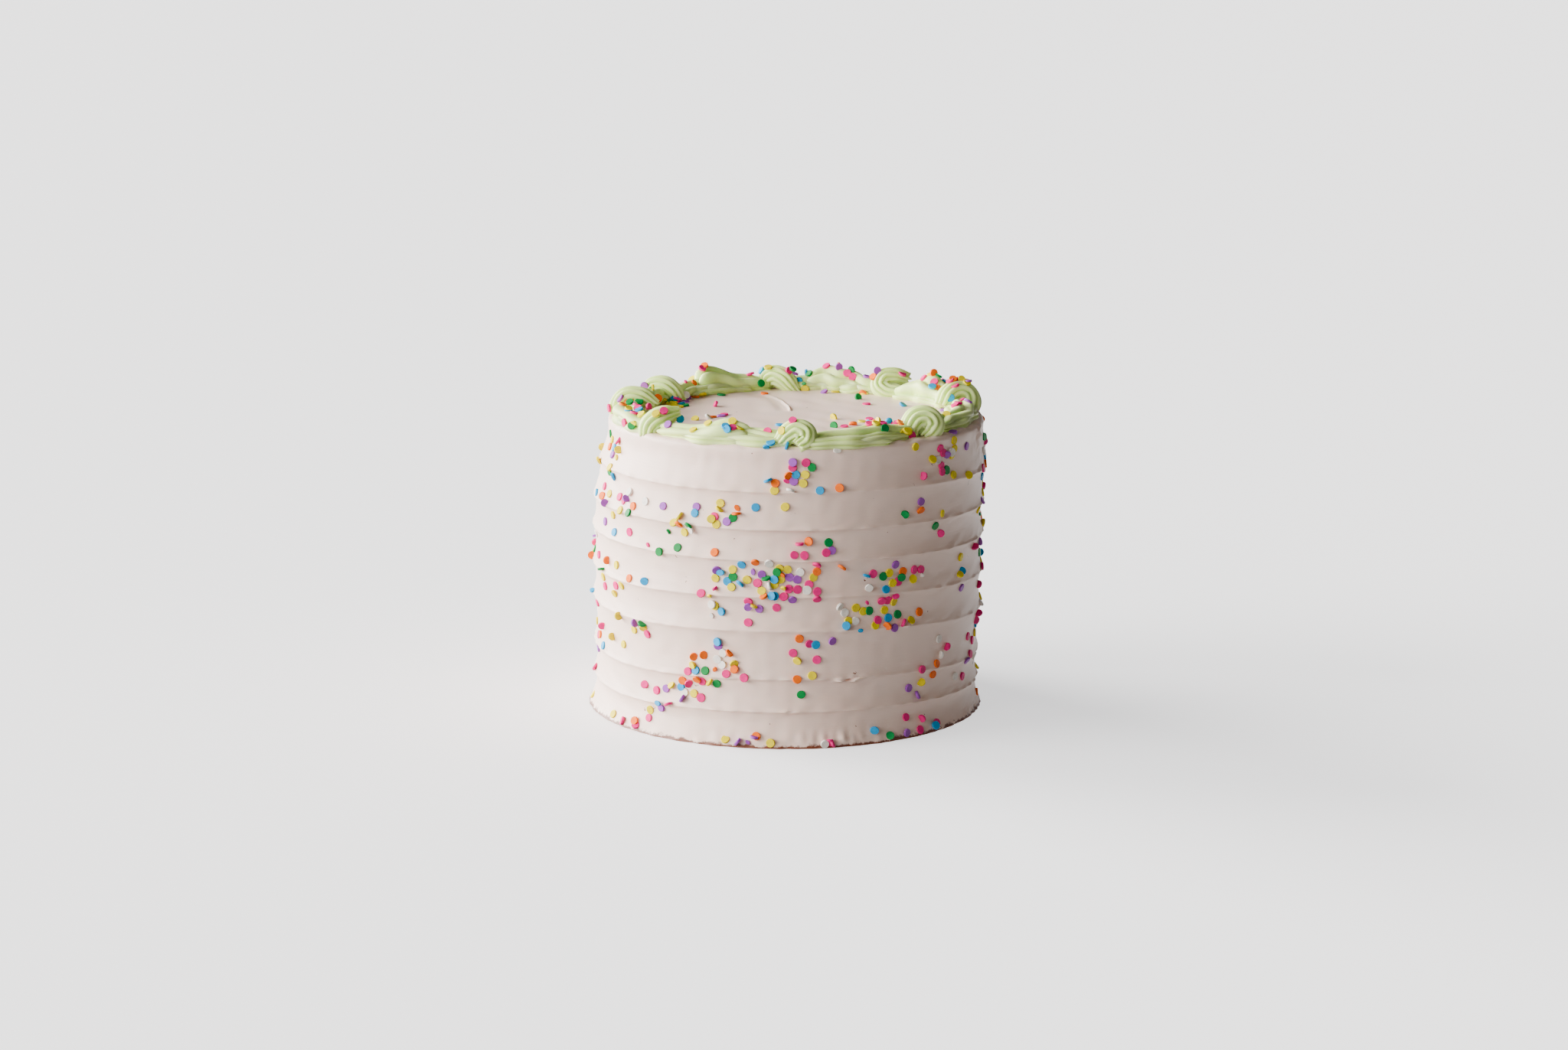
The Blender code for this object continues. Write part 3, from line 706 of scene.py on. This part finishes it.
# thrown on the back, where the front's handfuls come again: azimuth at the front, height, half width and
# half height of the handful, count
handfuls = (
    (-1, 142, 10, 7, 11), (-5, 133, 6, 5, 4), (10, 134, 6, 2, 2), (-19, 120, 6, 6, 8),
    (-33, 115, 10, 6, 10), (-70, 140, 9, 10, 11), (-82, 131, 6, 4, 4), (-60, 117, 16, 7, 14),
    (-48, 102, 26, 6, 6), (-72, 80, 20, 10, 12), (-61, 72, 17, 4, 7), (4, 104, 6, 4, 5),
    (11, 103, 3, 4, 4), (8, 92, 2, 5, 4), (-18, 88, 6, 6, 9), (-10, 93, 7, 4, 6), (-2, 89, 7, 6, 14),
    (3, 82, 10, 6, 11), (-6, 81, 5, 4, 7), (-9, 73, 6, 4, 6), (27, 88, 9, 4, 7), (37, 86, 7, 4, 6),
    (30, 77, 5, 6, 6), (20, 68, 7, 5, 12), (30, 65, 10, 5, 11), (50, 141, 12, 10, 11), (48, 137, 8, 5, 6),
    (82, 132, 8, 16, 12), (84, 97, 8, 18, 12), (80, 54, 11, 20, 14), (41, 116, 13, 7, 7),
    (60, 84, 4, 6, 3), (50, 35, 11, 14, 9), (62, 26, 10, 6, 4), (41, 6, 16, 5, 7), (4, 46, 6, 13, 9),
    (-24, 42, 10, 6, 12), (-17, 43, 6, 8, 8), (-31, 28, 12, 5, 11), (-41, 15, 9, 6, 6), (-50, 5, 6, 4, 3),
    (-46, 55, 5, 4, 5), (-63, 46, 20, 7, 8), (-12, 5, 9, 3, 7), (12, 4, 4, 2, 3), (-72, 6, 11, 5, 4),
    (-8, 152, 4, 1, 2),
)
# seen one by one on the top and the border: right of and above the middle of the foot, as they
# show from the front on the upright plane through that middle
placed = {
    "pink": ((3.8, 151.1), (-9.5, 145.1), (-32.4, 154), (-28.1, 147.2), (-64.3, 156), (-72.2, 157.1),
        (-78.1, 157.6), (-93, 157.6), (-84.7, 149.3), (-60.5, 161.7), (-57.9, 160.5), (-52.8, 171.5),
        (-44, 178.5), (-18.8, 175.4), (1.6, 177.5), (21.4, 180.2), (32.4, 176.5), (35.6, 174.4),
        (61.3, 176), (72.8, 174), (78.3, 171.8), (91.3, 172.7), (86.6, 172.1), (91, 160.5), (89.4, 159.4),
        (31, 147.7), (44.3, 151.7), (44.3, 149.3), (51.2, 149.6), (58.1, 149.6), (59.7, 149.5),
        (66.7, 143.1), (42.6, 159.8), (-37.1, 158.6)),
    "yellow": ((-2, 145.7), (-40.9, 149.4), (-28.1, 150.5), (-24.4, 146.7), (-48.7, 145.8), (-47.8, 151.2),
        (-68.5, 154.4), (-76, 154.1), (-80.3, 149.3), (-70.1, 167.1), (-64.2, 160.9), (-44, 165),
        (-49.3, 173.1), (-9, 179.1), (76.5, 176.1), (92.4, 172.6), (95.6, 171.7), (84.7, 154),
        (40.3, 150.4), (48, 149.1), (62.4, 145.3), (64.6, 144.8), (63.3, 144.2), (10.2, 168.1),
        (26.1, 166.3), (41.5, 165.4), (25.4, 151.9)),
    "orange": ((-38.7, 152.8), (-84.5, 160.1), (-67.4, 162.8), (-47.8, 163.4), (-48.3, 171.2),
        (-42.9, 179.8), (27.8, 179.5), (46.2, 174.6), (78.1, 175.8), (88.1, 172.6), (79.5, 168.6),
        (35.6, 148.7), (61.8, 149.9), (-11.1, 165.3), (41, 167.1)),
    "purple": ((-34, 153.2), (-62, 148.6), (-87.1, 162.5), (-74.1, 169.5), (-60, 159.6), (-52, 162.3),
        (4.3, 175.9), (28.1, 179), (42.8, 174.4), (48.5, 177.4), (96.3, 161), (83.6, 156.5),
        (20.3, 165.9)),
    "blue": ((-3.1, 148.4), (-7.9, 139), (-10.3, 137), (0.7, 136.7), (-31.8, 147.8), (-30.8, 146.2),
        (-55.8, 151.8), (-82.9, 156.3), (-58.9, 162.6), (-55.2, 159.8), (-12.7, 177.7), (7, 172.1),
        (11.2, 175.6), (84, 171.8), (77.1, 168.5), (86.9, 163.4), (54.4, 149.6), (62, 159)),
    "green": ((-77.5, 160.8), (-70.6, 168.2), (-53.1, 158.7), (-80.8, 147.4), (-13.2, 171), (2.7, 177.2),
        (9.9, 170.7), (12.8, 176), (34.7, 177.6), (80.4, 175.2), (25.5, 147.4), (52.3, 146.9),
        (38.3, 162.7), (-33.9, 164.5)),
    "white": ((-40.7, 152.1), (-81.3, 160.1), (-53.1, 164.5), (27.3, 134.9)),
}
# seen one by one on the side, the same way
placedOnSide = {
    "pink": ((10.8, 128.5), (3.7, 125.8), (0.5, 118.3), (83.2, 134), (82.4, 127), (82.8, 123.8),
        (72.4, 121.4), (104.5, 125.7), (82, 90.4), (99.8, 83.6), (104.4, 72.2), (102.5, 62.8),
        (102.2, 47.3), (101.3, 43.3), (7.5, 84.6), (21.7, 79.7), (4.7, 78.3), (10.1, 78.1), (16.7, 73.3),
        (12.6, 62.4), (17, 58.5), (17, 54.5), (6.5, 59.6), (-0.8, 55.5), (1.8, 59.8), (-4.6, 49.7),
        (46.8, 68.3), (60, 64), (68.6, 70.7), (72.1, 70.7), (58.5, 56.5), (51.3, 53.6), (54.6, 53.9),
        (43.6, 52.5), (49.3, 42.9), (62.8, 41.2), (13, 29.8), (4.2, 24.8), (17, 21.1), (85.8, 28.7),
        (73.1, 15.6), (97.4, 34.2), (99.7, 32.1), (94.7, 12.2), (98.9, 24.4), (64.8, -10.6), (72.9, -11.4),
        (72.6, -17.6), (81.5, -13.7), (23.9, -24.7), (25.5, -24.9), (-95.5, 115.4), (-87.7, 109.7),
        (-85.5, 107.7), (-37.6, 99.2), (-82.5, 90.7), (-72.8, 83.7), (-98.8, 78.3), (-37.2, 60),
        (-44.8, 57.3), (-95.6, 61.2), (-90, 61.6), (-14.8, 63.1), (-19.7, 53.1), (-19.7, 41.4),
        (-96.8, 39.4), (-73.5, 35), (-99.1, 34.7), (-100.9, 16.8), (-21.9, 10.9), (-31.5, 13.1),
        (-44.4, 9.1), (-51.2, 7.7), (-68.6, 4), (-44.9, -0.1), (-62.2, -3.8), (-72.8, -11.3),
        (-79.7, -15.6), (-86.9, -13.1), (-74.7, 7.3), (-51.9, 14.5), (-99.8, 52.2), (-87.8, 140.1),
        (81.7, 136.4), (105.1, 140.5)),
    "yellow": ((10.5, 121.9), (9.4, 117.2), (-5.8, 113.2), (-0.2, 104.5), (77.4, 130.4), (87.8, 132.7),
        (88.8, 122.1), (96.6, 121.8), (83.2, 101.2), (104.4, 112.8), (102.2, 103.4), (104.3, 96.2),
        (103.8, 75.8), (93.2, 77.5), (92.4, 68.1), (103.7, 56.1), (15, 66.3), (-3.1, 71.2), (1.2, 70.6),
        (-2.4, 65.2), (-5.7, 62.2), (-1.1, 60.2), (55.3, 68.8), (57.1, 63.3), (67.9, 65.5), (57.6, 53.3),
        (37.6, 49.7), (41.5, 47.8), (52.8, 48.5), (48, 40), (67.2, 42.8), (33.7, 42.4), (6.5, 20.4),
        (14.5, 12.2), (72.3, 9), (101, 36.3), (101.7, 17.9), (-98.1, 129.5), (-89.2, 130.9),
        (-92.8, 125.6), (-92.9, 111.4), (-91.2, 100), (-87.5, 102.4), (-55.6, 99.5), (-59.2, 95.8),
        (-53.4, 90.7), (-34.4, 106.5), (-34.7, 103.2), (-36.6, 94.9), (-38.9, 97.8), (-89.6, 72.7),
        (-96.6, 66.3), (-87.1, 61.6), (-90.4, 57.2), (-88.3, 45.5), (-27.9, 70.5), (-37.1, 65.8),
        (-28.6, 60.8), (-20.3, 64.9), (-40.2, 56.4), (-37.4, 50.6), (-12.5, 58.7), (-16.8, 51.1),
        (-75.2, 38.4), (-80.4, 37.4), (-91.5, 33.6), (-86, 29.3), (-100, 42.1), (-60.5, 7), (-48.6, 2.3),
        (-40.1, 8.9), (-49.2, 17.9), (-27.1, 18.6), (-72, -6.8), (-91.8, -9.3), (-31.9, -23.2),
        (-7.7, -25.3), (-102.4, 1.5), (-91.3, 140.6), (-87.5, 135), (88.9, 140.7), (89.1, 136.2),
        (68.6, 137.2)),
    "orange": ((1.6, 121.2), (-5.4, 117.2), (28.5, 114.9), (105.7, 128.1), (71.5, 102.8), (12.3, 85.8),
        (30, 72.1), (16.8, 69.5), (-1.4, 67.9), (62.6, 69.6), (71.4, 47.5), (54.2, 39.2), (7.6, 32.7),
        (6.4, 10.1), (81.1, 19.1), (79, 13.2), (102.6, 3.6), (-96.6, 110.1), (-80.6, 104.7),
        (-25.6, 103.9), (-25.9, 100.9), (-56.6, 95), (-37.6, 79.7), (-93.9, 75.3), (-82.9, 65.4),
        (-16, 74.5), (-11.5, 55.4), (-102, 77.7), (-48.6, 22.7), (-43.3, 23.6), (-29.5, 24.7),
        (-37.4, 15.6), (-26.9, 15.7), (-46.9, 10.9), (-54.8, 9.5), (-79.9, -13), (-15.4, -21.4),
        (-98.4, 34.7), (-92.6, 136.8)),
    "purple": ((3.9, 128.9), (4.4, 118.3), (84.9, 132.8), (71.8, 107.6), (104.3, 108.2), (102.9, 86.2),
        (93.7, 60.9), (24.7, 80.9), (6.4, 65.1), (3.9, 54.1), (2.2, 66.3), (58.6, 73.4), (58.4, 38.7),
        (25.2, 31.6), (66.2, 5.6), (70.8, 1.7), (97.2, 21), (65.3, -19.4), (-91.2, 132.6), (-95.3, 105.7),
        (-64.7, 104.8), (-47.1, 104.5), (-31, 96.5), (-95.3, 96.4), (-83.5, 108.8), (-36.4, 70.2),
        (-17.1, 69.2), (-12.5, 67.8), (-79.6, 41.5), (-19.4, 50.4), (-13.8, 49), (-35.7, 28.8), (-63.5, 5),
        (-66.2, -5.5), (-54.6, -0.8), (-25.3, -24.7), (-19.9, -24.9), (-16.3, -22.1), (-99.5, 27.3),
        (88.5, 144.8), (95.5, 137.6)),
    "blue": ((5.5, 121.9), (18.3, 113.3), (103.8, 121.2), (93.7, 70.1), (-5.7, 55.8), (-5.7, 65.2),
        (43.1, 67.2), (53.6, 59.7), (54.9, 44.1), (32.3, 39.7), (40.3, 37.3), (16.4, 29.3), (101.4, 41.3),
        (47.9, -18.1), (80.3, -15.5), (-90.6, 120.7), (-99.8, 111.9), (-48, 101.1), (-15.8, 104.2),
        (-90.6, 90.6), (-9.3, 118.8), (-74.6, 63.9), (-23.2, 73.2), (-34.1, 68.9), (-30.8, 64),
        (-23.9, 62.5), (-7.2, 55.8), (-33.8, 47.4), (-35.8, 31.2), (-47.7, 14.9), (-55.5, 6),
        (-67.4, -3.2), (-102.2, 58.5), (-96.9, 28.6), (-90.3, 136.3), (105.2, 132.4)),
    "green": ((14, 125.9), (85.3, 124.7), (63.2, 100.5), (79.5, 94.5), (103, 100.9), (102.9, 80.2),
        (23, 85.2), (-4.4, 69.2), (52.1, 66.9), (61.3, 66.4), (44.8, 48.1), (59.9, 46.1), (8.7, 1.8),
        (56.3, -21), (-92.8, 123.3), (-83.3, 101.1), (-27.8, 98.5), (-51.3, 94.5), (-61.7, 91.1),
        (-57.2, 82.3), (-67, 80), (-100.9, 81.7), (-96.9, 70.3), (-27.8, 66.5), (-10.1, 65.8),
        (-75.8, 41.2), (-42.7, 14.8), (-36.4, 7.8), (-92.2, 143.8), (104.8, 142.7)),
    "white": ((2.7, 113.2), (80.4, 130), (104.1, 52.7), (8, 69.2), (11.7, 59.2), (44.5, 60.6),
        (72.2, 67.7), (37.4, 42.4), (29.1, 50.5), (31.7, 47.1), (82, 32.8), (82.7, 23.9), (100.9, 23.7),
        (90.7, 12.2), (21.6, -25), (-82.2, 112.4), (-74, 107.3), (-49.7, 92.5), (-8.6, 73.9),
        (-38.7, 51.7), (-39.1, 45.2), (-8.2, 61.4), (-33.1, 24.7), (-36.1, 21.3), (-33.5, 18.2),
        (-53.6, 3), (-100, 90), (87, 134.3), (104.6, 135.1)),
}
# more of them on the border, in handfuls: azimuth, distance from the axis, half length and width, count
rimHandfuls = (
    (-116, 71, 10, 3, 5), (-104, 67, 6, 3, 3), (-76, 90, 8, 5, 4), (-66, 94, 6, 5, 3), (100, 89, 9, 5, 4),
    (110, 88, 7, 4, 3), (29, 83, 6, 2, 3), (120, 95, 8, 3, 4), (150, 96, 14, 3, 6), (178, 96, 12, 3, 5),
    (-152, 96, 14, 3, 5), (-124, 94, 8, 3, 4),
)


def discShape():
    # a disc with softened rims: four rings of points, and one flat face at either end
    count = confetti["sides"]
    angle = np.linspace(0, 2 * np.pi, count, endpoint=False)
    half = confetti["thickness"] / 2
    rings = [np.stack([reach * np.cos(angle), reach * np.sin(angle), np.full(count, level)], axis=-1)
             for reach, level in ((confetti["softRim"], -half), (1.0, -0.5 * half), (1.0, 0.5 * half),
                                  (confetti["softRim"], half))]
    points = np.concatenate(rings)
    points[:, :2] *= confetti["radius"]
    index = np.arange(4 * count).reshape(4, count)
    beside = np.roll(index, -1, axis=1)
    edge = np.stack([index[:-1], beside[:-1], beside[1:], index[1:]], axis=-1).reshape(-1, 4)
    return points, edge.tolist() + [index[0, ::-1].tolist(), index[-1].tolist()]


def spreadOut(count, draw):
    # seeded places in a disc of radius 1, each the one of a few tries that lies farthest from the others
    places = []
    for _ in range(count):
        tries = []
        for _ in range(confetti["tries"]):
            spin, reach = draw.uniform(0, math.tau), math.sqrt(draw.random())
            tries.append((reach * math.cos(spin), reach * math.sin(spin)))
        places.append(max(tries, key=lambda one: min([math.dist(one, other) for other in places], default=0)))
    return places


def throwConfetti(surfaces):
    # casts the seeded places straight onto the icing and the seen ones along the camera's line of sight, and
    # keeps where each lands, which way it faces and how it lies
    draw = random.Random(confetti["seed"])
    casts = []
    for azimuth, height, halfWidth, halfHeight, count in handfuls:
        for aside, up in spreadOut(count, draw):
            angle = 180 - azimuth + math.degrees(confetti["spread"] * aside * halfWidth / wall["meanRadius"])
            level = height + confetti["spread"] * up * halfHeight
            level = min(max(level, confetti["lowest"]), confetti["highest"])
            start = aroundAxis(angle, confetti["castRadius"], level, leanAt(level))
            casts.append((start, -aroundAxis(angle, 1, 0, 0), None))
    eye = np.array(studio["cameraPlace"])
    for places in (placed, placedOnSide):
        for dye, seen in places.items():
            for right, up in seen:
                casts.append((eye, unit(np.array([right, 0, up]) - eye), dye))
    for azimuth, middle, halfLength, halfWidth, count in rimHandfuls:
        for aside, along in spreadOut(count, draw):
            out = middle + along * halfWidth
            angle = azimuth + math.degrees(aside * halfLength / out)
            start = aroundAxis(angle, out, confetti["castHeight"], topShift)
            casts.append((start, np.array([0, 0, -1.0]), None))
    landed = []
    for start, direction, dye in casts:
        hits = [tree.ray_cast(Vector(start * mm), Vector(direction)) for tree in surfaces]
        hits = [hit for hit in hits if hit[0] is not None]
        if not hits:
            continue
        place, normal, _, _ = min(hits, key=lambda hit: hit[3])
        landed.append(layOne(place / mm, normal, draw, [one[0] for one in landed], dye))
    return landed


def layOne(place, normal, draw, others, dye):
    # most lie flat and a little sunk, some lean or stand on edge, and one that meets another climbs onto it
    thickness, radius = confetti["thickness"], confetti["radius"]
    below = sum(1 for other in others if (Vector(other) - place).length < confetti["meets"] * radius)
    standing, *upright, standingLift = confetti["standing"]
    leaning, *slanting, leaningLift = confetti["leaning"]
    *slight, first, each, most = confetti["climbing"]
    broken, *sizes = confetti["broken"]
    kind = draw.random()
    tilt = draw.gauss(0, confetti["flat"][0])
    lift = confetti["flat"][1] * thickness
    if kind < standing:
        tilt, lift = draw.uniform(*upright), standingLift * radius
    elif kind < standing + leaning:
        tilt, lift = draw.uniform(*slanting), leaningLift * radius
    elif below:
        tilt, lift = draw.uniform(*slight), (first + each * min(below, most)) * thickness
    small = draw.uniform(*sizes) if draw.random() < broken else 1.0
    spin = Matrix.Rotation(draw.uniform(0, math.tau), 3, "Z")
    outward = normal.to_track_quat("Z", "Y").to_matrix()
    across, along = draw.uniform(*confetti["uneven"]), draw.uniform(*confetti["uneven"])
    stretch = Matrix.Diagonal((small * across, along * min(1, small * confetti["brokenAcross"]), 1))
    roll = Matrix.Rotation(draw.uniform(0, math.tau), 3, "Z")
    turned = outward @ spin @ Matrix.Rotation(tilt, 3, "X") @ roll @ stretch
    dye = dye or draw.choices(list(dyes), [share for _, share in dyes.values()])[0]
    return np.array(place + normal * lift), np.array(turned), dye


def makeConfetti(landed):
    # every disc of a colour is the one shape, turned and moved, in a single mesh
    shape, shapeFaces = discShape()
    for name, (hexColour, _) in dyes.items():
        chosen = [one for one in landed if one[2] == name]
        places = np.array([one[0] for one in chosen])
        turns = np.array([one[1] for one in chosen])
        points = np.einsum("nij,kj->nki", turns, shape) + places[:, None]
        faces = [[corner + number * len(shape) for corner in face]
                 for number in range(len(chosen)) for face in shapeFaces]
        addPiece(f"{name}_confetti", points.reshape(-1, 3), faces, makeSugar(name, hexColour),
                 [], sharpness=32)
        print(f"{name} confetti: {len(chosen)}")


# floor, light and camera

studio = {
    "floorColour": "#e8e8ea",
    "floorGlow": 1.36,
    "floorRoughness": 0.9,
    "floorSpecular": 0.1,
    "floorReach": 40000,
    "skyColour": "#f7efe7",
    "skyAbove": 0.11,
    "skyBelow": 0.43,
    "skyBlend": 0.3,
    "lampColour": "#fffcf8",
    "cameraPlace": (-0.7, -1926.0, 495.3),
    "cameraPitch": 78.25,
    "cameraRoll": 0.14,
    "lens": 85.0,
    "sensorWidth": 36,
    "seenUpTo": 100000,
}
# soft window-like lamps from the left: azimuth, elevation, width, strength
lamps = ((-120, 14, 38, 12.2), (-80, 14, 38, 9.0), (-45, 15, 38, 2.1))


def makeFloor():
    # pale matt paper that glows a little, so that it looks even and nearly white up to the horizon
    material, _, shader = newMaterial("matt_paper")
    shader.inputs["Base Color"].default_value = linear(studio["floorColour"])
    shader.inputs["Roughness"].default_value = studio["floorRoughness"]
    shader.inputs["Specular IOR Level"].default_value = studio["floorSpecular"]
    shader.inputs["Emission Color"].default_value = linear(studio["floorColour"])
    shader.inputs["Emission Strength"].default_value = studio["floorGlow"]
    mesh = bpy.data.meshes.new("floor")
    reach = studio["floorReach"] * mm
    corners = [(-reach, -reach, 0), (reach, -reach, 0), (reach, reach, 0), (-reach, reach, 0)]
    mesh.from_pydata(corners, [], [(0, 1, 2, 3)])
    mesh.materials.append(material)
    floor = bpy.data.objects.new("floor", mesh)
    bpy.context.scene.collection.objects.link(floor)
    floor.visible_diffuse = False  # the sky below lights the icing instead, as evenly as a white studio cove


def makeLight():
    sky = bpy.data.worlds.new("soft_sky")
    sky.use_nodes = True
    background = sky.node_tree.nodes["Background"]
    background.inputs["Color"].default_value = linear(studio["skyColour"])
    direction = addNode(sky.node_tree, "ShaderNodeTexCoord").outputs["Generated"]
    rise = addNode(sky.node_tree, "ShaderNodeSeparateXYZ", {"Vector": direction}).outputs["Z"]
    strength = addNode(sky.node_tree, "ShaderNodeMapRange", {
        "Value": rise, "From Min": -studio["skyBlend"], "From Max": studio["skyBlend"],
        "To Min": studio["skyBelow"], "To Max": studio["skyAbove"]})
    sky.node_tree.links.new(strength.outputs["Result"], background.inputs["Strength"])
    bpy.context.scene.world = sky
    for number, (azimuth, elevation, spread, strength) in enumerate(lamps, 1):
        light = bpy.data.lights.new(f"soft_lamp_{number}", "SUN")
        light.energy = strength
        light.color = linear(studio["lampColour"])[:3]
        light.angle = math.radians(spread)
        lamp = bpy.data.objects.new(light.name, light)
        level = math.radians(elevation)
        towards = aroundAxis(azimuth, math.cos(level), math.sin(level), 0)
        lamp.rotation_euler = Vector(towards).to_track_quat("Z", "Y").to_euler()
        bpy.context.scene.collection.objects.link(lamp)


def makeCamera():
    lens = bpy.data.cameras.new("camera")
    lens.lens = studio["lens"]
    lens.sensor_width = studio["sensorWidth"]
    lens.clip_end = studio["seenUpTo"] * mm
    camera = bpy.data.objects.new("camera", lens)
    camera.matrix_world = (Matrix.Translation(Vector(studio["cameraPlace"]) * mm)
                           @ Matrix.Rotation(math.radians(studio["cameraPitch"]), 4, "X")
                           @ Matrix.Rotation(math.radians(studio["cameraRoll"]), 4, "Z"))
    bpy.context.scene.collection.objects.link(camera)
    bpy.context.scene.camera = camera


def surfaceOf(piece):
    graph = bpy.context.evaluated_depsgraph_get()
    return BVHTree.FromObject(piece, graph)


makeCamera()
makeLight()
makeFloor()
print("camera, light and floor are set")
ivory = makeIvoryIcing()
pistachio = makePistachioIcing()
iced = [makeIcedSide(ivory), makeIcedTop(ivory)]
print("the cake is iced")
ropes = [makeSwirl(number, settings, pistachio) for number, settings in enumerate(swirls, 1)]
ropes += [makeStroke(number, settings, pistachio) for number, settings in enumerate(strokes, 1)]
print("the border is piped")
bpy.context.view_layer.update()
makeConfetti(throwConfetti([surfaceOf(piece) for piece in iced + ropes]))
bpy.context.view_layer.update()
